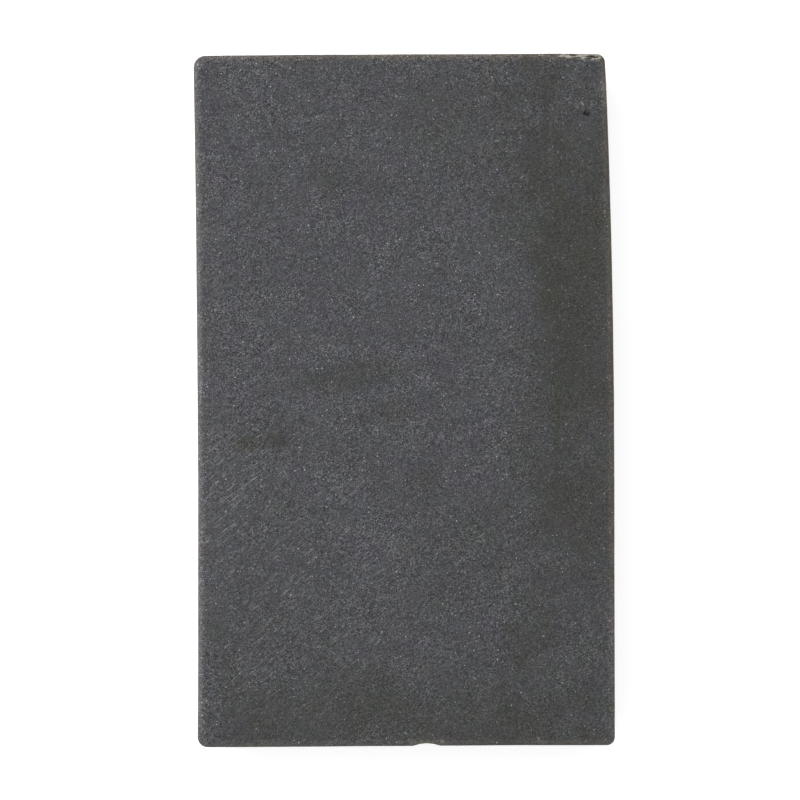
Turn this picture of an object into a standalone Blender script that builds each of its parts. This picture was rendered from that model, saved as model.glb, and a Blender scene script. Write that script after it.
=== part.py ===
"""A basalt massage stone: one sawn, hand-worn slab, modelled as it lies on its underside.

X runs across the stone, Y along it towards its head end, and Z up through its thickness. The
origin is on the underside, below the middle of the outline. All sizes are in metres.
"""

import math

import bmesh
import bpy
from mathutils import Matrix, Vector

MM = 0.001
UP = Vector((0, 0, 1))

# The slab
LENGTH = 150.0 * MM  # from the foot end to the head end
WIDTH = 90.5 * MM  # across the foot end
THICKNESS = 25.0 * MM

# How far the saw cuts run from a true rectangle
HEAD_TAPER = 1.25 * MM  # the head end is narrower by this much
HEAD_LEAN = 1.55 * MM  # the middle of the head end lies this far towards -X
END_SKEW = 0.45 * MM  # each end gains this much Y on its way to +X

# How far each side stands out at a third and at two thirds of its way, anticlockwise; below 0 is hollow
FOOT_BOW = (-0.05 * MM, -0.1 * MM)
RIGHT_BOW = (0.6 * MM, 0.85 * MM)
HEAD_BOW = (0.04 * MM, 0.04 * MM)
LEFT_BOW = (-0.38 * MM, -0.42 * MM)

# Worn corners and rims
FOOT_LEFT_RADIUS = 2.2 * MM
FOOT_RIGHT_RADIUS = 1.8 * MM
HEAD_RIGHT_RADIUS = 2.0 * MM
HEAD_LEFT_RADIUS = 2.6 * MM
RIM_RADIUS = 1.1 * MM  # round both flat faces
RIM_SEGMENTS = 5
OUTLINE_STEPS = 12  # straight steps along each side, and round each corner

# A shell-shaped chip out of the upper rim of the foot end
CHIP_OFFSET = 4.5 * MM  # from the middle of the end, towards +X
CHIP_LENGTH = 6.1 * MM  # along the rim
CHIP_ACROSS = 0.65 * MM  # over the upper face
CHIP_DOWN = 7.0 * MM  # down the end wall

# A longer flake off the upper rim of the head end, beside the +X corner
FLAKE_FROM_CORNER = 2.6 * MM  # from the corner to the middle of the flake
FLAKE_LENGTH = 14.4 * MM
FLAKE_ACROSS = 1.6 * MM
FLAKE_DOWN = 1.4 * MM

# A gas pore that the saw opened in the upper face
PORE_FROM_SIDE = 4.3 * MM  # from the straight line between the corners of the +X side
PORE_FROM_HEAD = 12.8 * MM
PORE_LENGTH = 1.3 * MM
PORE_WIDTH = 1.1 * MM
PORE_DEPTH = 1.2 * MM
PORE_TURN = math.radians(35)

CUTTER_STEPS = 64  # faces round a cutter
WELD = 0.001 * MM  # points closer than this are one
SMOOTH_ANGLE = math.radians(40)  # faces that meet at less are shaded as one

ARC_HANDLE = 4 / 3 * math.tan(math.pi / 8)  # handle length that makes a quarter circle of radius 1

BASALT_COLOUR = (0.084, 0.085, 0.089, 1.0)
BASALT_ROUGHNESS = 0.75


def clear_scene():
    for obj in list(bpy.data.objects):
        bpy.data.objects.remove(obj)


def new_collection(name):
    collection = bpy.data.collections.new(name)
    bpy.context.scene.collection.children.link(collection)
    return collection


def basalt():
    material = bpy.data.materials.new("basalt")
    material.use_nodes = True
    shader = material.node_tree.nodes["Principled BSDF"]
    shader.inputs["Base Color"].default_value = BASALT_COLOUR
    shader.inputs["Roughness"].default_value = BASALT_ROUGHNESS
    shader.inputs["Metallic"].default_value = 0.0
    return material


def slab_corners():
    """The four sharp corners of the outline, anticlockwise from the foot end's -X corner."""
    foot, head = WIDTH / 2, (WIDTH - HEAD_TAPER) / 2
    return [
        Vector((-foot, -LENGTH / 2 - END_SKEW / 2, 0)),
        Vector((foot, -LENGTH / 2 + END_SKEW / 2, 0)),
        Vector((head - HEAD_LEAN, LENGTH / 2 + END_SKEW / 2, 0)),
        Vector((-head - HEAD_LEAN, LENGTH / 2 - END_SKEW / 2, 0)),
    ]


def outward(start, end):
    """The level direction out of the slab, square to a side that runs from start to end."""
    return (end - start).cross(UP).normalized()


def side_handles(start, end, bow):
    """The two handles of a Bezier side that stands out by the bow at its thirds.

    Handles pushed out by h and k make it stand out by (4h + 2k) / 9 and (2h + 4k) / 9 there.
    """
    first, second = bow
    out = outward(start, end)
    leaving = start.lerp(end, 1 / 3) + out * (3 * first - 1.5 * second)
    arriving = start.lerp(end, 2 / 3) + out * (3 * second - 1.5 * first)
    return leaving, arriving


def outline_points(corners, radii, bows):
    """(left handle, point, right handle) of each Bezier point: where every corner's arc starts and ends."""
    count = len(corners)
    along = [(corners[(i + 1) % count] - corners[i]).normalized() for i in range(count)]
    starts = [corners[i] - radii[i] * along[i - 1] for i in range(count)]
    ends = [corners[i] + radii[i] * along[i] for i in range(count)]
    points = []
    for i in range(count):
        pull = ARC_HANDLE * radii[i]
        arriving = side_handles(ends[i - 1], starts[i], bows[i - 1])[1]
        leaving = side_handles(ends[i], starts[(i + 1) % count], bows[i])[0]
        points.append((arriving, starts[i], starts[i] + pull * along[i - 1]))
        points.append((ends[i] - pull * along[i], ends[i], leaving))
    return points


def outline_curve(points):
    """A flat closed curve through the points, filled and as thick as the slab."""
    curve = bpy.data.curves.new("outline", "CURVE")
    curve.dimensions = "2D"
    curve.fill_mode = "BOTH"
    curve.extrude = THICKNESS / 2
    curve.resolution_u = OUTLINE_STEPS
    spline = curve.splines.new("BEZIER")
    spline.bezier_points.add(len(points) - 1)
    spline.use_cyclic_u = True
    for knot, (left, point, right) in zip(spline.bezier_points, points):
        knot.handle_left_type = knot.handle_right_type = "FREE"
        knot.handle_left, knot.co, knot.handle_right = left, point, right
    return curve


def as_mesh(curve, name):
    """The curve's solid as a mesh, its caps welded on and each of them one face."""
    holder = bpy.data.objects.new("outline", curve)
    bpy.context.scene.collection.objects.link(holder)
    graph = bpy.context.evaluated_depsgraph_get()
    mesh = bpy.data.meshes.new_from_object(holder.evaluated_get(graph))
    bpy.data.objects.remove(holder)
    bpy.data.curves.remove(curve)
    mesh.name = name

    cage = bmesh.new()
    cage.from_mesh(mesh)
    bmesh.ops.remove_doubles(cage, verts=cage.verts, dist=WELD)
    cage.normal_update()
    inside_caps = [
        edge for edge in cage.edges
        if all(abs(face.normal.z) > 0.99 for face in edge.link_faces)
    ]
    bmesh.ops.dissolve_edges(cage, edges=inside_caps)
    bmesh.ops.recalc_face_normals(cage, faces=cage.faces)
    cage.to_mesh(mesh)
    cage.free()
    return mesh


def move_onto_origin(mesh):
    """Puts the middle of the mesh's box over the origin and its base at 0, and returns the level move."""
    xs, ys, zs = zip(*(vertex.co for vertex in mesh.vertices))
    shift = Vector((-(min(xs) + max(xs)) / 2, -(min(ys) + max(ys)) / 2, 0))
    mesh.transform(Matrix.Translation(shift - UP * min(zs)))
    return shift


def worn_slab(corners, collection):
    """The slab with its worn rims and nothing cut from it, and how far its outline moved to centre it."""
    radii = [FOOT_LEFT_RADIUS, FOOT_RIGHT_RADIUS, HEAD_RIGHT_RADIUS, HEAD_LEFT_RADIUS]
    bows = [FOOT_BOW, RIGHT_BOW, HEAD_BOW, LEFT_BOW]
    mesh = as_mesh(outline_curve(outline_points(corners, radii, bows)), "stone")
    shift = move_onto_origin(mesh)
    mesh.materials.append(basalt())

    stone = bpy.data.objects.new("stone", mesh)
    collection.objects.link(stone)
    rim = stone.modifiers.new("worn rim", "BEVEL")
    rim.limit_method = "ANGLE"
    rim.angle_limit = math.radians(60)
    rim.width = RIM_RADIUS
    rim.segments = RIM_SEGMENTS
    return stone, shift


def egg(name, centre, radii, turn, collection):
    """A cutter with these three radii, turned about Z."""
    cage = bmesh.new()
    bmesh.ops.create_uvsphere(cage, u_segments=CUTTER_STEPS, v_segments=CUTTER_STEPS // 2, radius=1)
    shape = Matrix.Rotation(turn, 4, "Z") @ Matrix.Diagonal((*radii, 1))
    bmesh.ops.transform(cage, matrix=shape, verts=cage.verts)
    mesh = bpy.data.meshes.new(name)
    cage.to_mesh(mesh)
    cage.free()
    cutter = bpy.data.objects.new(name, mesh)
    cutter.location = centre
    cutter.hide_render = True
    cutter.display_type = "WIRE"
    collection.objects.link(cutter)
    return cutter


def scoop(name, rim_point, out, length, across, down, collection):
    """A cutter that scoops a scar of these sizes out of a rim, where out points level out of the wall.

    A sphere that meets the rim over the whole length, the face as far in as across and the wall as
    low as down has its centre (half^2 - across^2) / (2 across) outside the wall, and in the same way
    above the face. Where the scar is taller than half its length, the sphere is stretched upwards
    with its centre level with the face, so that the scar is widest at the rim.
    """
    half = length / 2
    stretch = max(1.0, down / half)
    down /= stretch
    outside = (half**2 - across**2) / (2 * across)
    above = (half**2 - down**2) / (2 * down)
    radius = math.sqrt(outside**2 + above**2 + half**2)
    centre = rim_point + out * outside + UP * above * stretch
    return egg(name, centre, (radius, radius, radius * stretch), 0, collection)


def cut(stone, cutter):
    boolean = stone.modifiers.new(cutter.name, "BOOLEAN")
    boolean.operation = "DIFFERENCE"
    boolean.object = cutter


def foot_chip(foot_left, foot_right, collection):
    """The cutter of the chip, on the upper rim of the end between these two corners."""
    along = (foot_right - foot_left).normalized()
    out = outward(foot_left, foot_right)
    middle = foot_left.lerp(foot_right, 0.5)
    rim_point = middle + along * CHIP_OFFSET + out * FOOT_BOW[1] + UP * THICKNESS
    return scoop("foot_chip", rim_point, out, CHIP_LENGTH, CHIP_ACROSS, CHIP_DOWN, collection)


def head_flake(head_right, head_left, collection):
    """The cutter of the flake, on the upper rim of the end between these two corners."""
    along = (head_left - head_right).normalized()
    out = outward(head_right, head_left)
    rim_point = head_right + along * FLAKE_FROM_CORNER + UP * THICKNESS
    return scoop("head_flake", rim_point, out, FLAKE_LENGTH, FLAKE_ACROSS, FLAKE_DOWN, collection)


def pore(foot_right, head_right, collection):
    """The cutter of the pore, beside the side between these two corners."""
    along = (head_right - foot_right).normalized()
    out = outward(foot_right, head_right)
    centre = head_right - along * PORE_FROM_HEAD - out * PORE_FROM_SIDE + UP * THICKNESS
    return egg("pore", centre, (PORE_LENGTH / 2, PORE_WIDTH / 2, PORE_DEPTH), PORE_TURN, collection)


def main():
    clear_scene()
    parts = new_collection("massage_stone")
    cutters = new_collection("cutters")

    corners = slab_corners()
    stone, shift = worn_slab(corners, parts)
    foot_left, foot_right, head_right, head_left = [corner + shift for corner in corners]
    cut(stone, foot_chip(foot_left, foot_right, cutters))
    cut(stone, head_flake(head_right, head_left, cutters))
    cut(stone, pore(foot_right, head_right, cutters))

    stone.data.shade_smooth()
    stone.data.set_sharp_from_angle(angle=SMOOTH_ANGLE)


main()
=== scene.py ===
import math
import bpy
import numpy as np
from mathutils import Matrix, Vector


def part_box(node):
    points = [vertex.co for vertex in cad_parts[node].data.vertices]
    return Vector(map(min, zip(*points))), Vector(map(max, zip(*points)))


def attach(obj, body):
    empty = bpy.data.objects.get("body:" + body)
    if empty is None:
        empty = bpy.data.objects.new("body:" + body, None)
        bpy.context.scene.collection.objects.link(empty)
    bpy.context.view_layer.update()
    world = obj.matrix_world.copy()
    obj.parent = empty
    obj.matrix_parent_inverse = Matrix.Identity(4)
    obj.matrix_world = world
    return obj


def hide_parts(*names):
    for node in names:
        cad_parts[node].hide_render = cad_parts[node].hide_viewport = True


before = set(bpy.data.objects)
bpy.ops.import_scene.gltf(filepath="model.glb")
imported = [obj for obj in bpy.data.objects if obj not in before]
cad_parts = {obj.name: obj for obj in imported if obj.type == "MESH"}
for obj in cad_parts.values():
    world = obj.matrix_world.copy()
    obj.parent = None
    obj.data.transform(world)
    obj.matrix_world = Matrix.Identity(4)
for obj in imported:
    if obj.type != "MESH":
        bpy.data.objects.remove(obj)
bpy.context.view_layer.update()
mm = 0.001
print("frame loaded:", sorted(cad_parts))

# The damage: one chip at the foot, a flaked stretch of rim at the head, a gas pore and small nicks.
# rough is how far noise of the size grain draws each egg's skin in.
chip = dict(
    at=4.95 * mm,
    length=6.1 * mm,
    across=0.65 * mm,
    down=7.0 * mm,
    rough=0.05 * mm,
    grain=2.5 * mm,
    seed=91,
)
flakes = [  # along the head's right end: place, length, bite into the face and down the wall
    dict(at=35.4 * mm, length=7.4 * mm, across=1.25 * mm, down=0.85 * mm, seed=101),
    dict(at=38.9 * mm, length=7.2 * mm, across=1.6 * mm, down=0.85 * mm, seed=106),
    dict(at=41.4 * mm, length=4.8 * mm, across=1.8 * mm, down=0.95 * mm, seed=111),
]
flakeSkin = dict(rough=0.3 * mm, grain=1.3 * mm)
pores = [  # one drop-shaped hole made of a wide egg and a narrower one below it
    dict(
        fromSide=6.24 * mm,
        fromHead=12.80 * mm,
        length=1.55 * mm,
        width=1.15 * mm,
        depth=1.2 * mm,
        turn=-12,
        seed=121,
    ),
    dict(
        fromSide=6.10 * mm,
        fromHead=13.25 * mm,
        length=0.85 * mm,
        width=1.05 * mm,
        depth=0.9 * mm,
        turn=25,
        seed=126,
    ),
]
poreSkin = dict(rough=0.05 * mm, grain=0.5 * mm)
nicks = dict(
    count=80,
    onRim=(0.7, 0.2),  # where round the rim and how far from there: 0 is the flat face and 1 the wall
    radius=(0.25 * mm, 0.9 * mm),
    bite=(0.15, 0.45),  # over the radius
    deepest=0.2 * mm,
    rough=0.2,  # over the radius
    grain=0.5 * mm,
    seed=81,
    placesSeed=7,
)

stone = dict(
    node="stone",
    body="root",
    slot="basalt",
    columns=150,  # faces across the upper face
    rows=200,  # and along it
    wallRows=22,
    wallEasing=1.15,  # above 1 the wall's rows are closer together at its top
    arcRows=6,
    shoulderRows=4,
    shoulder=2.4 * mm,  # width of the band round each flat face that the rims are blended into
    rim=1.1 * mm,  # radius of the worn rims
    rimSpread=0.22 * mm,  # how much that radius wanders
    rimGrain=9 * mm,  # and over what length
    rimSeeds=(41, 51),  # of the upper and the lower rim
    finer=dict(  # reach and gain of the finer faces near each corner and each kind of damage
        corner=(3.0 * mm, 1.2),
        chip=(chip["length"] * 0.6, 1.2),
        flakes=(4.5 * mm, 1.6),
        poreAcross=(0.9 * mm, 6.0),
        poreAlong=(0.9 * mm, 7.0),
    ),
    faceWander=0.06 * mm,  # how far the flat faces rise and sink
    wallWander=0.03 * mm,
    wanderGrain=22 * mm,
    wanderSeed=61,
    tooth=0.010 * mm,  # the surface's smallest unevenness
    toothGrain=2 * mm,
    toothSeed=71,
)

low, high = (np.array(corner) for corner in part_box(stone["node"]))
topHeight = high[2]
latticeSize = 24  # random values along each side of the block that softNoise repeats


def softNoise(points, size, seed):
    # Random values on a lattice of this spacing, blended between its corners by 3t^2 - 2t^3, from -1 to 1
    values = np.random.default_rng(seed).uniform(-1, 1, (latticeSize,) * 3)
    scaled = points / size + 1000 * latticeSize  # whole blocks are added to keep it above zero
    cell = np.floor(scaled).astype(np.int64)
    step = scaled - cell
    step = step * step * (3 - 2 * step)
    total = np.zeros(len(points))
    for corner in np.ndindex(2, 2, 2):
        at = (cell + corner) % latticeSize
        weight = np.where(corner, step, 1 - step).prod(axis=1)
        total += weight * values[at[:, 0], at[:, 1], at[:, 2]]
    return total


def layeredNoise(points, size, seed, layers=3):
    # Soft noise plus finer layers, each half the size and half the height of the one before
    return sum(softNoise(points, size / 2**k, seed + k) / 2**k for k in range(layers))


# The slab's outline is the same curve as the solid's
outline = dict(
    length=150.0 * mm,
    footWidth=90.5 * mm,
    headTaper=1.25 * mm,
    headLean=1.55 * mm,
    endSkew=0.45 * mm,
    bows=[  # how far each side bulges at a third and at two thirds of it, anticlockwise from the foot
        (-0.05 * mm, -0.1 * mm),
        (0.6 * mm, 0.85 * mm),
        (0.04 * mm, 0.04 * mm),
        (-0.38 * mm, -0.42 * mm),
    ],
    radii=[2.2 * mm, 1.8 * mm, 2.0 * mm, 2.6 * mm],  # foot left, foot right, head right, head left
    leastRadius=0.3 * mm,  # of a corner on a loop drawn inside the outline
    arcPoints=24,  # points of half a corner and of a whole side
    sidePoints=400,
)


def slabCorners(inset):
    # Sharp corners, anticlockwise from foot left, each moved in by the inset along both of its sides
    foot = outline["footWidth"] / 2
    head = foot - outline["headTaper"] / 2
    lean = outline["headLean"]
    end = outline["length"] / 2
    skew = outline["endSkew"] / 2
    sharp = np.array([
        (-foot, -end - skew),
        (foot, -end + skew),
        (head - lean, end + skew),
        (-head - lean, end - skew),
    ])
    leaving = np.roll(sharp, -1, axis=0) - sharp
    leaving /= np.linalg.norm(leaving, axis=1, keepdims=True)
    arriving = np.roll(leaving, 1, axis=0)
    return sharp + inset * (leaving - arriving), leaving, arriving


def bezier(a, b, c, d, t):
    # (1-t)^3 a + 3 (1-t)^2 t b + 3 (1-t) t^2 c + t^3 d
    t = t[:, None]
    return (1 - t) ** 3 * a + 3 * (1 - t) ** 2 * t * b + 3 * (1 - t) * t**2 * c + t**3 * d


def sidePath(side, inset):
    # Half a corner arc, the bowed side, and half the next arc, as one fine polyline
    sharp, leaving, arriving = slabCorners(inset)
    radii = np.maximum(np.array(outline["radii"]) - inset, outline["leastRadius"])[:, None]
    starts = sharp - radii * arriving
    ends = sharp + radii * leaving
    handle = 4 / 3 * math.tan(math.pi / 8)  # a quarter circle's handle over its radius
    nextSide = (side + 1) % 4

    def arc(corner, t):
        pull = handle * radii[corner]
        start, end = starts[corner], ends[corner]
        return bezier(start, start + pull * arriving[corner], end - pull * leaving[corner], end, t)

    a, d = ends[side], starts[nextSide]
    first, second = outline["bows"][side]
    out = np.array([leaving[side][1], -leaving[side][0]])
    # handles that take the curve through both bulges: 3 times the near one less 1.5 times the far one
    b = a + (d - a) / 3 + out * (3 * first - 1.5 * second)
    c = a + (d - a) * 2 / 3 + out * (3 * second - 1.5 * first)
    arcPoints = outline["arcPoints"]
    return np.concatenate([
        arc(side, np.linspace(0.5, 1, arcPoints))[:-1],
        bezier(a, b, c, d, np.linspace(0, 1, outline["sidePoints"]))[:-1],
        arc(nextSide, np.linspace(0, 0.5, arcPoints)),
    ])


def alongPath(path, shares):
    # Points at these shares of the path's length
    run = np.concatenate([[0], np.cumsum(np.linalg.norm(np.diff(path, axis=0), axis=1))])
    return np.stack([np.interp(shares * run[-1], run, path[:, k]) for k in (0, 1)], axis=1)


nearby = 3 * mm  # how far outside an egg, and from the slab's end, points are still looked at


def carve(places, centre, radii, rough, grain, seed, turn=0.0):
    # Points inside an egg move straight away from its centre onto its skin, which is drawn in by rough
    # times (0.5 + 0.3 noise). Returns the new places and each point's depth inside the egg, below zero
    # outside it.
    c, s = math.cos(turn), math.sin(turn)
    spin = np.array([(c, -s, 0), (s, c, 0), (0, 0, 1)])
    least = min(radii)
    near = np.flatnonzero(np.abs(places - centre).max(axis=1) < max(radii) + nearby)
    local = (places[near] - centre) @ spin / radii
    reach = np.maximum(np.linalg.norm(local, axis=1), 1e-9)
    skin = 1 - rough * (0.5 + 0.3 * layeredNoise(places[near], grain, seed)) / least
    depth = np.full(len(places), -1.0)
    depth[near] = (skin - reach) * least
    moved = places.copy()
    inside = reach < skin
    onSkin = (local / reach[:, None] * skin[:, None] * radii) @ spin.T + centre
    moved[near[inside]] = onSkin[inside]
    return moved, depth


def scoopEgg(rimPoint, out, length, across, down):
    # Centre and radii of the egg that meets a rim over this length, the face out to across and the wall to
    # down: its centre is (half^2 - across^2) / (2 across) outside the wall, and likewise above the face.
    # An egg that goes further down than half its length is a stretched ball.
    half = length / 2
    stretch = max(1.0, down / half)
    down /= stretch
    outside = (half**2 - across**2) / (2 * across)
    above = (half**2 - down**2) / (2 * down)
    radius = math.sqrt(outside**2 + above**2 + half**2)
    centre = rimPoint + out * outside + np.array((0, 0, above * stretch))
    return centre, np.array((radius, radius, radius * stretch))


def damage(shape, normals, onWall, loop):
    # Cuts all the marks one after another, and returns the depth inside each kind of mark

    def eggOf(scoop, side):
        # The egg of a chip or flake, where the outline has its x on the foot side (-1) or the head side (1)
        edge = loop[loop[:, 1] * side > high[1] - nearby]
        edge = edge[np.argsort(edge[:, 0])]
        rimPoint = np.array((scoop["at"], np.interp(scoop["at"], edge[:, 0], edge[:, 1]), topHeight))
        return scoopEgg(rimPoint, np.array((0, side, 0)), scoop["length"], scoop["across"], scoop["down"])

    rng = np.random.default_rng(nicks["placesSeed"])
    middle, spread = nicks["onRim"]
    edges = np.flatnonzero(np.abs(onWall - middle) < spread)
    for point in rng.choice(edges, nicks["count"], replace=False):
        radius = rng.uniform(*nicks["radius"])
        bite = min(rng.uniform(*nicks["bite"]) * radius, nicks["deepest"])
        ball = shape[point] + normals[point] * (radius - bite)
        radii = np.full(3, radius)
        shape = carve(shape, ball, radii, nicks["rough"] * radius, nicks["grain"], nicks["seed"])[0]

    shape, chipDepth = carve(shape, *eggOf(chip, -1), chip["rough"], chip["grain"], chip["seed"])

    flakeDepth = np.full(len(shape), -1.0)
    for flake in flakes:
        shape, depth = carve(shape, *eggOf(flake, 1), flakeSkin["rough"], flakeSkin["grain"], flake["seed"])
        flakeDepth = np.maximum(flakeDepth, depth)

    poreDepth = np.full(len(shape), -1.0)
    for pore in pores:
        at = np.array((high[0] - pore["fromSide"], high[1] - pore["fromHead"], topHeight))
        radii = np.array((pore["length"] / 2, pore["width"] / 2, pore["depth"]))
        turn = math.radians(pore["turn"])
        shape, depth = carve(shape, at, radii, poreSkin["rough"], poreSkin["grain"], pore["seed"], turn)
        poreDepth = np.maximum(poreDepth, depth)
    return shape, chipDepth, flakeDepth, poreDepth


def stations(count, length, finer):
    # Shares of the length, closest where the density 1 + gain exp(-((x - at) / reach)^2) is highest
    x = np.linspace(0, length, 4001)  # fine steps that the density is added up over
    density = 1 + sum(gain * np.exp(-(((x - at) / reach) ** 2)) for at, reach, gain in finer)
    running = np.concatenate([[0], np.cumsum((density[1:] + density[:-1]) / 2)])
    return np.interp(np.linspace(0, 1, count + 1), running / running[-1], x / length)


def slabStations():
    # Finer beside the corners, the chip, the flakes and the pore: each stretch's place, reach and gain
    finer = stone["finer"]
    width, length = (high - low)[:2]
    across = stations(stone["columns"], width, [
        (0, *finer["corner"]),
        (width, *finer["corner"]),
        (chip["at"] - low[0], *finer["chip"]),
        (flakes[1]["at"] - low[0], *finer["flakes"]),
        (width - pores[0]["fromSide"], *finer["poreAcross"]),
    ])
    along = stations(stone["rows"], length, [
        (0, *finer["corner"]),
        (length, *finer["corner"]),
        (length - pores[0]["fromHead"], *finer["poreAlong"]),
    ])
    return across, along


def outlineSides(inset, across, along):
    # The four sides at their stations, anticlockwise, centred on the solid's box
    shares = [across, along, 1 - across[::-1], 1 - along[::-1]]
    outer = np.concatenate([sidePath(side, 0) for side in range(4)])
    middle = (outer.min(axis=0) + outer.max(axis=0)) / 2
    return [alongPath(sidePath(side, inset), shares[side]) - middle for side in range(4)]


def coonsPatch(sides, across, along):
    # Opposite sides blended across and along, less the bilinear blend of the four corners
    foot, right, head, left = sides[0], sides[1], sides[2][::-1], sides[3][::-1]
    s = across[None, :, None]
    t = along[:, None, None]
    ruled = (1 - t) * foot[None] + t * head[None] + (1 - s) * left[:, None] + s * right[:, None]
    corners = (1 - s) * (1 - t) * foot[0] + s * (1 - t) * foot[-1]
    corners = corners + (1 - s) * t * head[0] + s * t * head[-1]
    return ruled - corners


def bandRows(outer, outward):
    # The rim profile carried round the outline: from the shoulder over a quarter circle onto the wall,
    # down it, and round a second quarter circle onto the underside. Returns insets, heights and normals.
    ring = np.column_stack([outer, np.zeros(len(outer))])
    upperRim, lowerRim = (
        stone["rim"] + stone["rimSpread"] * layeredNoise(ring, stone["rimGrain"], seed)
        for seed in stone["rimSeeds"]
    )
    turn = np.linspace(0, math.pi / 2, stone["arcRows"] + 1)[:, None]
    part = np.arange(1, stone["shoulderRows"])[:, None] / stone["shoulderRows"]
    fall = (np.arange(1, stone["wallRows"])[:, None] / stone["wallRows"]) ** stone["wallEasing"]
    band = stone["shoulder"]
    flat = np.zeros_like(upperRim)[None]

    insets = np.concatenate([
        band + (upperRim - band) * part,
        upperRim * (1 - np.sin(turn)),
        flat * fall,
        lowerRim * (1 - np.cos(turn)),
        lowerRim + (band - lowerRim) * part,
    ])
    heights = np.concatenate([
        topHeight + flat * part,
        topHeight - upperRim * (1 - np.cos(turn)),
        (topHeight - upperRim) * (1 - fall) + lowerRim * fall,
        lowerRim * (1 - np.sin(turn)),
        flat * part,
    ])
    tilt = np.concatenate([0 * part, turn, math.pi / 2 + 0 * fall, math.pi / 2 + turn, math.pi + 0 * part])
    normals = np.dstack([np.sin(tilt)[..., None] * outward[None], np.cos(tilt) + flat])
    return insets, heights, normals


def loopOfGrid(nx, ny):
    # Numbers of the grid's border points, anticlockwise from its first corner
    i, j = np.arange(nx), np.arange(ny)
    wide = nx + 1
    return np.concatenate([i, j * wide + nx, ny * wide + nx - i, (ny - j) * wide])


def gridFaces(nx, ny):
    # Four-cornered faces of a grid of points, anticlockwise
    start = (np.arange(ny)[:, None] * (nx + 1) + np.arange(nx)).reshape(-1)
    return np.stack([start, start + 1, start + nx + 2, start + nx + 1], axis=1)


def bandFaces(loops):
    # Faces between each loop of point numbers and the loop below it
    upper, lower = loops[:-1], loops[1:]
    return np.stack([upper, lower, np.roll(lower, -1, 1), np.roll(upper, -1, 1)], axis=2).reshape(-1, 4)


wornAndLitRimTints = dict(  # how each side's rim multiplies the stone's colour: paler from wear on every side, and by painted light that differs from side to side, most on the left
    foot=(1.46, 1.40, 1.36),
    right=(1.68, 1.50, 1.34),
    head=(1.52, 1.33, 1.08),
    left=(1.74, 1.66, 1.57),
)
rimWearAndLight = dict(start=1.9 * mm, full=0.45 * mm, downWall=1.6 * mm)  # how far the worn and painted-lit band reaches inwards on the face, and down the wall
# Depth inside each kind of mark, or height above the upper face, between which its mask eases from 0 to 1
maskSpans = dict(
    upper=(-3 * mm, -0.5 * mm),
    flaked=(-0.12 * mm, 0.06 * mm),
    chipped=(-0.02 * mm, 0.10 * mm),
    bruised=(-1.4 * mm, 0),
    pitShade=(-0.03 * mm, 0.05 * mm),
)


def smooth(x, start, end):
    # 0 before start, 1 after end, eased by 3t^2 - 2t^3 between them
    t = np.clip((x - start) / (end - start), 0, 1)
    return t * t * (3 - 2 * t)


def wornStone():
    # Upper face, band and underside as one closed surface, its damage cut, with the masks its finish reads
    across, along = slabStations()
    nx, ny = stone["columns"], stone["rows"]
    outer = np.concatenate([side[:-1] for side in outlineSides(0, across, along)])
    sides = outlineSides(stone["shoulder"], across, along)
    inner = np.concatenate([side[:-1] for side in sides])
    outward = (outer - inner) / np.linalg.norm(outer - inner, axis=1, keepdims=True)
    insets, heights, normals = bandRows(outer, outward)
    share = (insets / stone["shoulder"])[..., None]
    band = np.dstack([outer[None] * (1 - share) + inner[None] * share, heights])
    patch = coonsPatch(sides, across, along).reshape(-1, 2)

    count = len(patch)
    places = np.concatenate([
        np.column_stack([patch, np.full(count, topHeight)]),
        np.column_stack([patch, np.zeros(count)]),
        band.reshape(-1, 3),
    ])
    normals = np.concatenate([
        np.tile((0.0, 0.0, 1.0), (count, 1)),
        np.tile((0.0, 0.0, -1.0), (count, 1)),
        normals.reshape(-1, 3),
    ])
    border = loopOfGrid(nx, ny)
    bandLoops = 2 * count + np.arange(band.shape[0] * band.shape[1]).reshape(band.shape[:2])
    grid = gridFaces(nx, ny)
    faces = np.concatenate([
        grid,
        count + grid[:, ::-1],
        bandFaces(np.concatenate([border[None], bandLoops, count + border[None]])),
    ])

    onWall = np.sqrt(np.clip(1 - normals[:, 2] ** 2, 0, 1))  # 0 on the flat faces, 1 on the walls
    wander = stone["faceWander"] * (1 - onWall) + stone["wallWander"] * onWall
    lift = wander * layeredNoise(places, stone["wanderGrain"], stone["wanderSeed"])
    lift = lift + stone["tooth"] * layeredNoise(places, stone["toothGrain"], stone["toothSeed"])
    shape = places + normals * lift[:, None]
    shape, chipDepth, flakeDepth, poreDepth = damage(shape, normals, onWall, outer)
    shape[:, 2] = np.maximum(shape[:, 2], low[2])  # the underside's high spots are rubbed flat

    faceWearAndLight = smooth(insets, rimWearAndLight["start"], rimWearAndLight["full"])
    faceWearAndLight = np.concatenate([np.zeros(2 * count), faceWearAndLight.reshape(-1)])
    edgeAway = np.minimum(topHeight - places[:, 2], places[:, 2])
    downWall = rimWearAndLight["downWall"]
    worn = faceWearAndLight * (1 - smooth(edgeAway, 0.5 * downWall, 1.5 * downWall))  # half gone at downWall
    # each side's share of its rim tint, which is wear plus painted light
    facing = np.stack([-outward[:, 1], outward[:, 0], outward[:, 1], -outward[:, 0]], axis=1)
    sideShares = np.clip(facing, 0, 1) ** 2
    tint = sideShares @ np.array([wornAndLitRimTints[side] for side in ("foot", "right", "head", "left")])
    tints = np.concatenate([np.ones((2 * count, 3)), np.tile(tint, (band.shape[0], 1))])

    upperStart, upperEnd = maskSpans["upper"]
    facesUp = normals[:, 2] > 0.2
    masks = dict(
        worn=worn,
        wall=onWall,
        upper=smooth(places[:, 2], topHeight + upperStart, topHeight + upperEnd),
        flaked=smooth(flakeDepth, *maskSpans["flaked"]),
        chipped=smooth(chipDepth, *maskSpans["chipped"]),
        bruised=smooth(chipDepth, *maskSpans["bruised"]) * facesUp,
        pitShade=smooth(poreDepth, *maskSpans["pitShade"]),
    )
    return shape, faces, masks, tints


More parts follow.
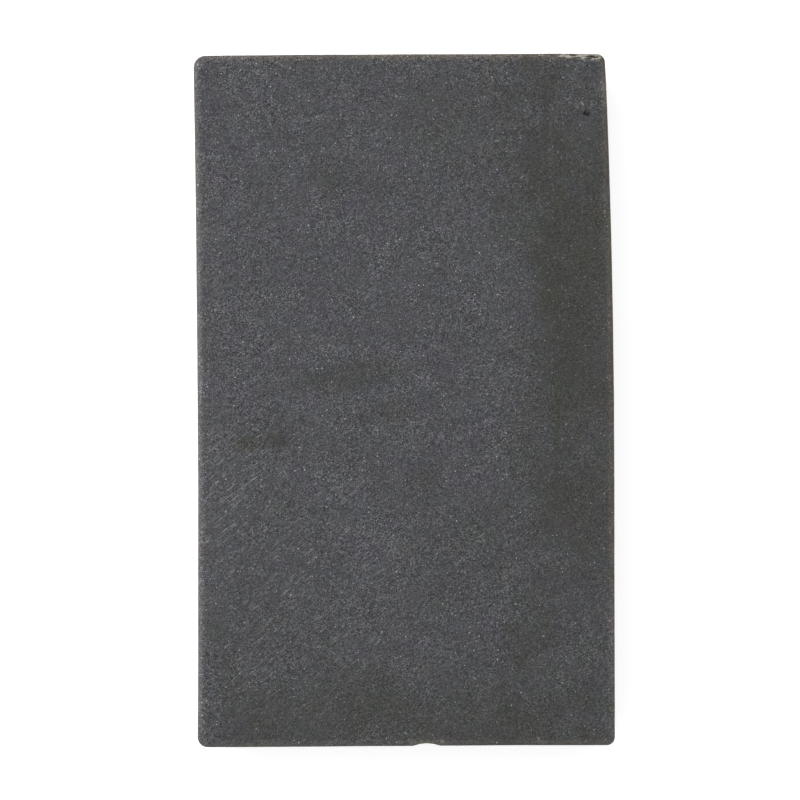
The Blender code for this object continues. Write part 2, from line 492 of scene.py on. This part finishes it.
def meshOf(name, places, faces, masks, tints):
    # A smooth mesh of four-cornered faces that carries every mask and tint as an attribute of its points
    mesh = bpy.data.meshes.new(name)
    mesh.vertices.add(len(places))
    mesh.vertices.foreach_set("co", places.astype(np.float32).reshape(-1))
    mesh.loops.add(faces.size)
    mesh.loops.foreach_set("vertex_index", faces.astype(np.int32).reshape(-1))
    mesh.polygons.add(len(faces))
    mesh.polygons.foreach_set("loop_start", np.arange(0, faces.size, 4, dtype=np.int32))
    mesh.update(calc_edges=True)
    for mask, values in masks.items():
        attribute = mesh.attributes.new(mask, "FLOAT", "POINT")
        attribute.data.foreach_set("value", values.astype(np.float32))
    colours = np.column_stack([tints, np.ones(len(tints))]).astype(np.float32)
    mesh.attributes.new("wornAndLitRimTint", "FLOAT_COLOR", "POINT").data.foreach_set("color", colours.reshape(-1))
    mesh.shade_smooth()
    return mesh


def setInput(tree, node, name, value):
    # A socket is linked to the input, anything else is set on it
    if isinstance(value, bpy.types.NodeSocket):
        tree.links.new(value, node.inputs[name])
    else:
        node.inputs[name].default_value = value


def addNode(tree, kind, inputs=None, **settings):
    # A shader node with these settings and inputs
    made = tree.nodes.new("ShaderNode" + kind)
    for name, value in settings.items():
        setattr(made, name, value)
    for name, value in (inputs or {}).items():
        setInput(tree, made, name, value)
    return made


def maths(tree, operation, *values):
    # One sum on numbers, by a math node
    return addNode(tree, "Math", dict(enumerate(values)), operation=operation).outputs[0]


def vectorMaths(tree, operation, *values):
    # The same on vectors, component by component
    return addNode(tree, "VectorMath", dict(enumerate(values)), operation=operation).outputs[0]


def ramp(tree, value, start, end, low=0.0, high=1.0):
    # Eased from low at start to high at end
    inputs = {"Value": value, "From Min": start, "From Max": end, "To Min": low, "To Max": high}
    return addNode(tree, "MapRange", inputs, interpolation_type="SMOOTHSTEP").outputs[0]


def blendColour(tree, share, a, b, mode="MIX"):
    # (1 - share) times a plus share times b, or times a times b where they are multiplied.
    # Inputs 0, 6 and 7 and output 2 are the mix node's sockets for colours.
    return addNode(tree, "Mix", {0: share, 6: a, 7: b}, data_type="RGBA", blend_type=mode).outputs[2]


def multiplied(tree, colour, factor):
    # The colour times a number or another colour
    return blendColour(tree, 1.0, colour, factor, "MULTIPLY")


def scaledNoise(tree, place, perMetre, detail=2.0, roughness=0.5):
    # Noise from 0 to 1, with about this many features to a metre
    inputs = {"Vector": place, "Scale": perMetre, "Detail": detail, "Roughness": roughness}
    return addNode(tree, "TexNoise", inputs).outputs["Fac"]


def turnedPlace(tree, place, turn):
    # Coordinates whose first axis runs at this turn, anticlockwise from X
    back = maths(tree, "MULTIPLY", turn, -1.0)
    inputs = {"Vector": place, "Angle": back}
    return addNode(tree, "VectorRotate", inputs, rotation_type="Z_AXIS").outputs[0]


def newGroup(name, inputs, outputs):
    # A node group with these named sockets, and its inside ends of them
    tree = bpy.data.node_groups.new(name, "ShaderNodeTree")
    for label, kind, value in inputs:
        socket = tree.interface.new_socket(label, in_out="INPUT", socket_type="NodeSocket" + kind)
        if value is not None:
            socket.default_value = value
    for label, kind in outputs:
        tree.interface.new_socket(label, in_out="OUTPUT", socket_type="NodeSocket" + kind)
    return tree, tree.nodes.new("NodeGroupInput").outputs, tree.nodes.new("NodeGroupOutput").inputs


def useGroup(tree, group, **inputs):
    # The outputs of a copy of the group with these inputs; the group has to be set before its sockets exist
    made = addNode(tree, "Group", node_tree=group)
    for name, value in inputs.items():
        setInput(tree, made, name, value)
    return made.outputs


def linesGroup():
    # Noise drawn out along one direction: its value, and a mask of the lines where it passes a level
    tree, given, made = newGroup(
        "drawnLines",
        [
            ("Place", "Vector", None),
            ("Turn", "Float", 0.0),
            ("Length", "Float", 6 * mm),
            ("Spacing", "Float", 0.6 * mm),
            ("Level", "Float", 0.62),
        ],
        [("Value", "Float"), ("Lines", "Float")],
    )
    turned = turnedPlace(tree, given["Place"], given["Turn"])
    spans = addNode(tree, "CombineXYZ", {0: given["Length"], 1: given["Spacing"], 2: given["Length"]})
    scaled = vectorMaths(tree, "DIVIDE", turned, spans.outputs[0])
    value = addNode(tree, "TexNoise", {"Vector": scaled, "Scale": 1.0, "Detail": 1.0}).outputs["Fac"]
    tree.links.new(value, made["Value"])
    fullLevel = maths(tree, "ADD", given["Level"], 0.1)
    tree.links.new(ramp(tree, value, given["Level"], fullLevel), made["Lines"])
    return tree


def grainGroup(lines):
    # Crystals: fine noise, lines along the saw's path and clumps, each times its weight, summed round zero.
    # Shade is e to the power of that sum times Contrast, and Height is the sum itself.
    tree, given, made = newGroup(
        "crystalGrain",
        [
            ("Place", "Vector", None),
            ("Size", "Float", 0.3 * mm),
            ("Clump Size", "Float", 1 * mm),
            ("Cloud Size", "Float", 4 * mm),
            ("Fine", "Float", 4.0),
            ("Hatch", "Float", 1.0),
            ("Clump", "Float", 1.0),
            ("Cloud", "Float", 0.5),
            ("Turn", "Float", 0.65),
            ("Contrast", "Float", 1.0),
        ],
        [("Shade", "Float"), ("Height", "Float")],
    )

    def weighted(value, weight):
        return maths(tree, "MULTIPLY", maths(tree, "SUBTRACT", value, 0.5), weight)

    def sized(size, detail, roughness):
        return scaledNoise(tree, given["Place"], maths(tree, "DIVIDE", 1.0, given[size]), detail, roughness)

    hatchLength = maths(tree, "MULTIPLY", given["Size"], 4.5)
    hatch = useGroup(tree, lines, Place=given["Place"], Turn=given["Turn"], Length=hatchLength,
                     Spacing=given["Size"])["Value"]
    total = weighted(sized("Size", 1.0, 0.6), given["Fine"])
    total = maths(tree, "ADD", total, weighted(hatch, given["Hatch"]))
    total = maths(tree, "ADD", total, weighted(sized("Clump Size", 2.0, 0.55), given["Clump"]))
    total = maths(tree, "ADD", total, weighted(sized("Cloud Size", 2.0, 0.5), given["Cloud"]))
    shade = maths(tree, "EXPONENT", maths(tree, "MULTIPLY", total, given["Contrast"]))
    tree.links.new(shade, made["Shade"])
    tree.links.new(total, made["Height"])
    return tree


def speckGroup():
    # Round specks in a share of the cells of a cell pattern, each from 0.3 to 1 times the reach in size.
    # A speck is full out to 0.3 of its size.
    tree, given, made = newGroup(
        "specks",
        [
            ("Place", "Vector", None),
            ("Cell", "Float", 1 * mm),
            ("Share", "Float", 0.1),
            ("Reach", "Float", 0.4),
        ],
        [("Mask", "Float")],
    )
    perMetre = maths(tree, "DIVIDE", 1.0, given["Cell"])
    inputs = {"Vector": given["Place"], "Scale": perMetre, "Randomness": 1.0}
    cells = addNode(tree, "TexVoronoi", inputs)
    draws = addNode(tree, "SeparateColor", {0: cells.outputs["Color"]}).outputs
    chosen = maths(tree, "LESS_THAN", draws[0], given["Share"])
    reach = maths(tree, "MULTIPLY", given["Reach"], maths(tree, "MULTIPLY_ADD", draws[1], 0.7, 0.3))
    near = ramp(tree, cells.outputs["Distance"], reach, maths(tree, "MULTIPLY", reach, 0.3))
    tree.links.new(maths(tree, "MULTIPLY", near, chosen), made["Mask"])
    return tree


def stainGroup():
    # An oval patch with a ragged, faded border. It eases from 1 to 0 where the turned distance from its
    # centre over its reach, plus 3 times ragged times noise round zero, goes from 1 - fade to 1 + fade.
    tree, given, made = newGroup(
        "stain",
        [
            ("Place", "Vector", None),
            ("Centre", "Vector", None),
            ("Reach", "Vector", (10 * mm, 10 * mm, 10 * mm)),
            ("Turn", "Float", 0.0),
            ("Ragged", "Float", 0.4),
            ("Tear", "Float", 4 * mm),
            ("Fade", "Float", 0.5),
        ],
        [("Mask", "Float")],
    )
    away = vectorMaths(tree, "SUBTRACT", given["Place"], given["Centre"])
    scaled = vectorMaths(tree, "DIVIDE", turnedPlace(tree, away, given["Turn"]), given["Reach"])
    distance = addNode(tree, "VectorMath", {0: scaled}, operation="LENGTH").outputs["Value"]
    moved = scaledNoise(tree, given["Place"], maths(tree, "DIVIDE", 1.0, given["Tear"]), 4.0, 0.6)
    shift = maths(tree, "MULTIPLY", maths(tree, "SUBTRACT", moved, 0.5), given["Ragged"])
    edge = maths(tree, "MULTIPLY_ADD", shift, 3.0, distance)
    outer = maths(tree, "ADD", 1.0, given["Fade"])
    inner = maths(tree, "SUBTRACT", 1.0, given["Fade"])
    tree.links.new(ramp(tree, edge, outer, inner), made["Mask"])
    return tree


basalt = dict(
    cool=(0.0690, 0.0698, 0.0762, 1),
    warm=(0.0500, 0.0506, 0.0462, 1),  # where it is stained
    hueSpread=0.1,  # strength of the faint purple, blue and green mottling
    hueSize=5 * mm,
    grainSizes={"Size": 0.2564 * mm, "Clump Size": 0.95 * mm, "Cloud Size": 3.5 * mm},
    grainWeights=dict(Fine=3.95, Hatch=0.85, Clump=0.46, Cloud=0.34),
    grainInStains=-0.42,  # change of the grain's contrast in a full stain
    sawTurn=38,  # degrees from X that the saw ran at
    fleck=(0.53, 0.53, 0.55, 1),
    fleckStrength=1.0,
    flecksInStains=-0.5,  # change of that strength in a full stain
    worn=(0.24, 0.23, 0.21, 1),
    scratched=(0.37, 0.37, 0.36, 1),
    # painted shade in the broken rim's crevices
    creviceShade=(0.020, 0.018, 0.015, 1),
    brokenPale=(0.40, 0.375, 0.33, 1),
    bruise=(0.19, 0.18, 0.13, 1),
    chipped=(0.125, 0.122, 0.114, 1),
    # near black: painted shade inside the pore and the walls' small pores
    pitShade=(0.002, 0.002, 0.002, 1),
    sawScale=(60, 60, 1400),  # the walls' saw lines to a metre along each axis
    sawShade=0.09,
    poreHeight=-12.0,  # the walls' pores, in grain heights
    ridgeLength=2.2 * mm,  # of the ridges in the broken rim
    ridgeSpacing=0.42 * mm,
    crumbSize=0.45 * mm,
    roughness=0.78,
    crystalGloss=-0.1,  # change of the roughness on the highest crystals
    specular=0.2,
    grainHeight=0.012 * mm,
)

# Soft patterns of noise: size, detail and roughness, and the noise values that each is eased between.
# Where two more follow, they are what it is eased to, instead of 0 and 1.
patterns = dict(
    damp=dict(size=14 * mm, detail=3.0, roughness=0.55, span=(0.35, 0.7, -0.12, 0.2)),
    lively=dict(size=7 * mm, detail=2.0, roughness=0.5, span=(0.3, 0.7, 0.75, 1.2)),
    broken=dict(size=1.6 * mm, detail=3.0, roughness=0.6, span=(0.40, 0.56)),
    patchy=dict(size=1.6 * mm, detail=3.0, roughness=0.6, span=(0.25, 0.6, 0.55, 1.1)),
    bruised=dict(size=0.8 * mm, detail=2.0, roughness=0.5, span=(0.3, 0.65)),
    chipped=dict(size=1.2 * mm, detail=3.0, roughness=0.5, span=(0.35, 0.65)),
)

# Specks: size of the cells they are in, share of the cells that have one, and reach over the cell's size
specks = dict(
    small=dict(Cell=0.5 * mm, Share=0.3, Reach=0.36),
    large=dict(Cell=1.0 * mm, Share=0.42, Reach=0.19),
    holes=dict(Cell=3.6 * mm, Share=0.22, Reach=0.11),
)
# How strongly the small specks, the walls' pores and each kind of damage cover what is under them
strengths = dict(small=0.47, holes=0.85, flaked=0.85, bruised=0.45, chipped=0.5)

# Stains: place and reach in mm across and along, turn in degrees, strength, raggedness and fade.
# One with a strength below zero thins the others out.
stains = [
    dict(at=(40, 12), reach=(18, 66), strength=0.55, ragged=0.5, fade=0.5),
    dict(at=(-46, 8), reach=(12, 76), strength=-0.30, ragged=0.3, fade=0.8),
    dict(at=(-22, 24), reach=(22, 22), strength=-0.12, ragged=0.4, fade=0.8),
    dict(at=(-12, 57), reach=(30, 14), strength=0.12, ragged=0.5, fade=0.8),
    dict(at=(-8, -56), reach=(24, 14), strength=0.16, ragged=0.5, fade=0.8),
    dict(at=(27, 56), reach=(8, 14), strength=0.20, ragged=0.5, fade=0.7),
    dict(at=(27, -49), reach=(8, 13), strength=0.26, ragged=0.5, fade=0.7),
    dict(at=(25, 2), reach=(7, 26), strength=-0.14, ragged=0.5, fade=0.7),
    dict(at=(-33, -45), reach=(8, 34), strength=0.18, ragged=0.5, fade=0.7),
    dict(at=(-6.5, -64), reach=(5, 8), turn=-10, strength=0.26, ragged=0.4, fade=0.6),
    dict(at=(0, -78), reach=(60, 15), strength=0.57, ragged=0.3, fade=0.5),
    dict(at=(-12, 5.2), reach=(12.5, 3.0), turn=10, strength=0.55, ragged=0.4, fade=0.5),
    dict(at=(-35.2, -9.5), reach=(3.2, 2.4), turn=10, strength=0.40, ragged=0.6, fade=0.5),
    dict(at=(-26.9, -8.0), reach=(3.2, 2.6), turn=30, strength=0.40, ragged=0.6, fade=0.5),
    dict(at=(-3, -2), reach=(5, 2.5), strength=0.40, ragged=0.6, fade=0.6),
    dict(at=(5, -16.5), reach=(3.5, 3), strength=0.40, ragged=0.2, fade=0.6),
    dict(at=(14, -23), reach=(4, 4), strength=0.25, ragged=0.6, fade=0.6),
    dict(at=(37, 24), reach=(7, 24), strength=0.40, ragged=0.5, fade=0.6),
    dict(at=(37, -23), reach=(8, 9), strength=0.32, ragged=0.5, fade=0.6),
    dict(at=(28, 51), reach=(3, 3), strength=0.30, ragged=0.5, fade=0.6),
    dict(at=(29.5, 70), reach=(3.5, 4), strength=0.35, ragged=0.5, fade=0.6),
    dict(at=(-16, 46.5), reach=(4, 5), strength=0.25, ragged=0.5, fade=0.6),
    dict(at=(-39.5, -57), reach=(2.5, 12), turn=10, strength=0.35, ragged=0.5, fade=0.6),
    dict(at=(-40.4, -3.4), reach=(4.2, 2.6), turn=-10, strength=0.50, ragged=0.6, fade=0.6),
    dict(at=(-31, -9), reach=(6.2, 1.7), turn=5, strength=0.45, ragged=0.15, fade=0.5),
    dict(at=(15.5, 60), reach=(11.5, 13), strength=0.20, ragged=0.5, fade=0.4),
    dict(at=(13, -31), reach=(10.5, 18), strength=0.14, ragged=0.6, fade=0.5),
    dict(at=(27, -61), reach=(13, 11), strength=0.15, ragged=0.5, fade=0.6),
    dict(at=(34.5, 17), reach=(4.5, 32), strength=0.24, ragged=0.4, fade=0.5),
    dict(at=(28.5, 17), reach=(3, 30), strength=0.12, ragged=0.6, fade=0.6),
    dict(at=(33.2, 15), reach=(0.7, 30), turn=-0.5, strength=0.42, ragged=0.2, fade=0.5),
    dict(at=(37.4, 27), reach=(0.6, 21), turn=-0.5, strength=0.42, ragged=0.25, fade=0.5),
    dict(at=(39.5, 38), reach=(0.45, 15), strength=0.40, ragged=0.25, fade=0.5),
    dict(at=(41.3, 40), reach=(0.5, 13), strength=0.42, ragged=0.25, fade=0.5),
    dict(at=(30.6, 58), reach=(0.6, 14), turn=1.0, strength=0.35, ragged=0.3, fade=0.5),
]
# Small pale marks: the strokes by the pore, rubbed stretches on the right and left, and a few dashes
marks = [
    dict(at=(38.6, 64.3), reach=(0.2, 0.65), turn=32, strength=0.7),
    dict(at=(37.6, 63.6), reach=(0.16, 0.5), turn=28, strength=0.45),
    dict(at=(40.6, 64.1), reach=(0.16, 0.5), turn=-25, strength=0.35),
    dict(at=(43.3, 67.0), reach=(0.4, 2.2), turn=4, strength=0.24, ragged=3.0),
    dict(at=(-41.5, 2), reach=(4, 46), strength=0.03),
    dict(at=(20.1, 56.2), reach=(0.55, 0.18), strength=0.5),
    dict(at=(6.7, 50.4), reach=(0.45, 0.2), turn=10, strength=0.45),
    dict(at=(8.3, -73.8), reach=(0.55, 0.3), turn=-15, strength=0.4, ragged=0.8),
]
# Patches of pale scratches left by the saw, with each scratch's length and spacing in mm and the level
# of noise that one starts at
scratchPatches = [
    dict(at=(-38, -18), reach=(8, 15), turn=-20, strength=1.0, length=6.5, spacing=0.22, level=0.64),
    dict(at=(-22, -38), reach=(24, 30), strength=0.4, length=3.2, spacing=0.22, level=0.62),
]
stainDepth = 12 * mm  # how far down a stain reaches


def patchMask(tree, place, stain, patch, ragged=0.4, tear=4.0, fade=0.5):
    # The stain group's mask for one patch, times its strength; tear is the size in mm of its ragged border
    at = (patch["at"][0] * mm, patch["at"][1] * mm, topHeight)
    reach = (patch["reach"][0] * mm, patch["reach"][1] * mm, stainDepth)
    turn = math.radians(patch.get("turn", 0))
    ragged = patch.get("ragged", ragged)
    fade = patch.get("fade", fade)
    drawn = useGroup(tree, stain, Place=place, Centre=at, Reach=reach, Turn=turn, Ragged=ragged,
                     Tear=tear * mm, Fade=fade)
    return maths(tree, "MULTIPLY", drawn["Mask"], patch["strength"])


def basaltMaterial():
    # The stained stone, its crystals and specks, then everything that wore, scratched or broke it
    material = bpy.data.materials.new("basalt")
    material.use_nodes = True
    tree = material.node_tree
    shader = tree.nodes["Principled BSDF"]
    place = addNode(tree, "TexCoord").outputs["Object"]
    lines = linesGroup()
    grainTree = grainGroup(lines)
    speckTree = speckGroup()
    stain = stainGroup()
    sawTurn = math.radians(basalt["sawTurn"])

    def mask(name):
        return addNode(tree, "Attribute", attribute_name=name).outputs["Fac"]

    def product(a, b):
        return maths(tree, "MULTIPLY", a, b)

    def pattern(name):
        # The named pattern, eased over its span
        noisy = patterns[name]
        value = scaledNoise(tree, place, 1 / noisy["size"], noisy["detail"], noisy["roughness"])
        return ramp(tree, value, *noisy["span"])

    def speckMask(name):
        return useGroup(tree, speckTree, Place=place, **specks[name])["Mask"]

    def summed(masks):
        # Their sum, kept between 0 and 1
        total = masks[0]
        for other in masks[1:]:
            total = maths(tree, "ADD", total, other)
        return addNode(tree, "Clamp", {0: total}).outputs[0]

    # damp and oily stains under everything, and faint mottling: noise round grey, doubled to lie round 1
    stained = summed([patchMask(tree, place, stain, patch) for patch in stains] + [pattern("damp")])
    colour = blendColour(tree, stained, basalt["cool"], basalt["warm"])
    inputs = {"Vector": place, "Scale": 1 / basalt["hueSize"], "Detail": 3.0}
    hues = addNode(tree, "TexNoise", inputs).outputs["Color"]
    hues = blendColour(tree, basalt["hueSpread"], (0.5, 0.5, 0.5, 1), hues)
    colour = multiplied(tree, colour, multiplied(tree, hues, (2, 2, 2, 1)))

    # crystals, duller in the stains and livelier in some patches than in others
    contrast = maths(tree, "MULTIPLY_ADD", stained, basalt["grainInStains"], 1.0)
    contrast = product(pattern("lively"), contrast)
    grain = useGroup(tree, grainTree, Place=place, Turn=sawTurn, Contrast=contrast,
                     **basalt["grainSizes"], **basalt["grainWeights"])
    colour = multiplied(tree, colour, grain["Shade"])
    flecks = maths(tree, "MAXIMUM", product(speckMask("small"), strengths["small"]), speckMask("large"))
    dull = maths(tree, "MULTIPLY_ADD", stained, basalt["flecksInStains"], basalt["fleckStrength"])
    colour = blendColour(tree, product(flecks, dull), colour, basalt["fleck"])

    # the walls' and underside's small pores, filled with near-black painted shade, and the saw's lines
    # along the walls
    upper = mask("upper")
    lower = maths(tree, "SUBTRACT", 1.0, upper)
    holes = product(speckMask("holes"), lower)
    colour = blendColour(tree, product(holes, strengths["holes"]), colour, basalt["pitShade"])
    sawPlace = vectorMaths(tree, "MULTIPLY", place, basalt["sawScale"])
    sawn = ramp(tree, scaledNoise(tree, sawPlace, 1.0), 0.3, 0.7, -1.0, 1.0)
    sawn = product(sawn, product(mask("wall"), lower))
    colour = multiplied(tree, colour, maths(tree, "MULTIPLY_ADD", sawn, basalt["sawShade"], 1.0))

    # saw scratches and pale marks
    scratches = []
    for patch in scratchPatches:
        drawn = useGroup(tree, lines, Place=place, Turn=sawTurn, Length=patch["length"] * mm,
                         Spacing=patch["spacing"] * mm, Level=patch["level"])["Lines"]
        scratches.append(product(drawn, patchMask(tree, place, stain, patch)))
    scratched = product(product(summed(scratches), pattern("broken")), upper)
    colour = blendColour(tree, scratched, colour, basalt["scratched"])
    pale = [patchMask(tree, place, stain, mark, tear=0.5, fade=0.4) for mark in marks]
    colour = blendColour(tree, product(summed(pale), upper), colour, basalt["worn"])

    # worn rims, paler from wear and from painted light, in their own tint on each side, with a ragged inner
    # border
    worn = product(mask("worn"), pattern("patchy"))
    tint = addNode(tree, "Attribute", attribute_name="wornAndLitRimTint").outputs["Color"]
    colour = blendColour(tree, summed([worn]), colour, multiplied(tree, colour, tint))

    # newly broken stretches of rim: pale ridges along the rim and crevices in painted shade, 0.7 of them
    # lines and 0.3 crumbs
    ridges = useGroup(tree, lines, Place=place, Turn=0.0, Length=basalt["ridgeLength"],
                      Spacing=basalt["ridgeSpacing"])["Value"]
    crumbs = scaledNoise(tree, place, 1 / basalt["crumbSize"])
    ridges = maths(tree, "ADD", product(ridges, 0.7), product(crumbs, 0.3))
    brokenAndShaded = blendColour(tree, ramp(tree, ridges, 0.42, 0.55), basalt["creviceShade"], basalt["brokenPale"])
    colour = blendColour(tree, product(mask("flaked"), strengths["flaked"]), colour, brokenAndShaded)
    bruised = product(product(mask("bruised"), pattern("bruised")), strengths["bruised"])
    colour = blendColour(tree, bruised, colour, basalt["bruise"])
    chipped = product(product(mask("chipped"), pattern("chipped")), strengths["chipped"])
    colour = blendColour(tree, chipped, colour, basalt["chipped"])
    # the pore's inside painted near black: painted shade in the hole
    colour = blendColour(tree, mask("pitShade"), colour, basalt["pitShade"])

    tree.links.new(colour, shader.inputs["Base Color"])
    rough = maths(tree, "MULTIPLY_ADD", grain["Height"], basalt["crystalGloss"], basalt["roughness"])
    tree.links.new(rough, shader.inputs["Roughness"])
    shader.inputs["Specular IOR Level"].default_value = basalt["specular"]
    relief = maths(tree, "MULTIPLY_ADD", holes, basalt["poreHeight"], sawn)
    relief = maths(tree, "ADD", grain["Height"], relief)
    bump = addNode(tree, "Bump", {"Height": relief, "Distance": basalt["grainHeight"], "Strength": 1.0})
    tree.links.new(bump.outputs[0], shader.inputs["Normal"])
    return material


places, faces, masks, tints = wornStone()
stoneSurface = bpy.data.objects.new("stone_surface", meshOf("stone_surface", places, faces, masks, tints))
bpy.context.scene.collection.objects.link(stoneSurface)
stoneSurface.data.materials.append(basaltMaterial())
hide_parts(stone["node"])
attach(stoneSurface, stone["body"])
print("stone:", len(places), "points,", 2 * len(faces), "triangles")


studio = dict(
    # the round table: radius of its middle face, its flat part and its upturned border, and their faces
    sweep=dict(middle=0.02, flat=1.3, bend=0.35, steps=16, segments=96),
    tableColour=(0.75, 0.75, 0.75, 1),
    tableRoughness=0.9,
    tableGlow=0.64,
    white=(1, 1, 1, 1),
    worldStrength=0.24,
    lamps=[  # the soft boxes, turned towards the stone
        dict(name="key", power=11.5, size=0.8, at=(-0.75, 0.62, 0.95)),
        dict(name="overhead", power=10.3, size=1.4, at=(0.0, 0.0, 1.5)),
    ],
    lens=150.0,
    nearest=0.01,  # the closest that the camera sees
    viewWidth=173.2 * mm,  # what the picture is wide at the upper face
    aim=(-0.91 * mm, 0.10 * mm),
)


def sweptTable():
    # A profile turned about Z: flat out to one radius, then a quarter circle of the bend's radius upwards
    sweep = studio["sweep"]
    bend = np.linspace(0, math.pi / 2, sweep["steps"] + 1)
    border = sweep["flat"] + sweep["bend"] * np.sin(bend)
    radii = np.concatenate([[sweep["middle"], sweep["flat"] / 2], border])
    heights = np.concatenate([[0, 0], sweep["bend"] * (1 - np.cos(bend))])
    around = np.linspace(0, 2 * math.pi, sweep["segments"], endpoint=False)
    across = radii[:, None] * np.cos(around)
    along = radii[:, None] * np.sin(around)
    rings = np.stack([across, along, heights[:, None] + 0 * around], axis=2)
    loops = np.arange(len(radii) * len(around)).reshape(len(radii), -1)
    faces = [loops[0].tolist()] + bandFaces(loops)[:, ::-1].tolist()
    mesh = bpy.data.meshes.new("table")
    mesh.from_pydata(rings.reshape(-1, 3).tolist(), [], faces)
    mesh.shade_smooth()
    return mesh


def buildStudio():
    # The white table, the even white world and the soft boxes, which the camera doesn't see
    table = bpy.data.objects.new("table", sweptTable())
    bpy.context.scene.collection.objects.link(table)
    surface = bpy.data.materials.new("white_table")
    surface.use_nodes = True
    shader = surface.node_tree.nodes["Principled BSDF"]
    shader.inputs["Base Color"].default_value = studio["tableColour"]
    shader.inputs["Roughness"].default_value = studio["tableRoughness"]
    shader.inputs["Emission Color"].default_value = studio["white"]
    shader.inputs["Emission Strength"].default_value = studio["tableGlow"]
    table.data.materials.append(surface)

    world = bpy.data.worlds.new("studio")
    world.use_nodes = True
    background = world.node_tree.nodes["Background"]
    background.inputs["Color"].default_value = studio["white"]
    background.inputs["Strength"].default_value = studio["worldStrength"]
    bpy.context.scene.world = world

    for box in studio["lamps"]:
        lamp = bpy.data.lights.new(box["name"], "AREA")
        lamp.energy = box["power"]
        lamp.size = box["size"]
        lampObject = bpy.data.objects.new(box["name"], lamp)
        lampObject.location = box["at"]
        lampObject.rotation_euler = (-Vector(box["at"])).to_track_quat("-Z", "Y").to_euler()
        lampObject.visible_camera = False
        bpy.context.scene.collection.objects.link(lampObject)


def buildCamera():
    # Straight above; its height over the upper face is view width times lens over sensor width
    camera = bpy.data.cameras.new("camera")
    camera.lens = studio["lens"]
    camera.clip_start = studio["nearest"]
    away = studio["viewWidth"] * camera.lens / camera.sensor_width
    cameraObject = bpy.data.objects.new("camera", camera)
    cameraObject.location = (*studio["aim"], topHeight + away)
    bpy.context.scene.collection.objects.link(cameraObject)
    bpy.context.scene.camera = cameraObject


buildStudio()
buildCamera()
bpy.context.scene.view_settings.view_transform = "Standard"
print("studio ready")
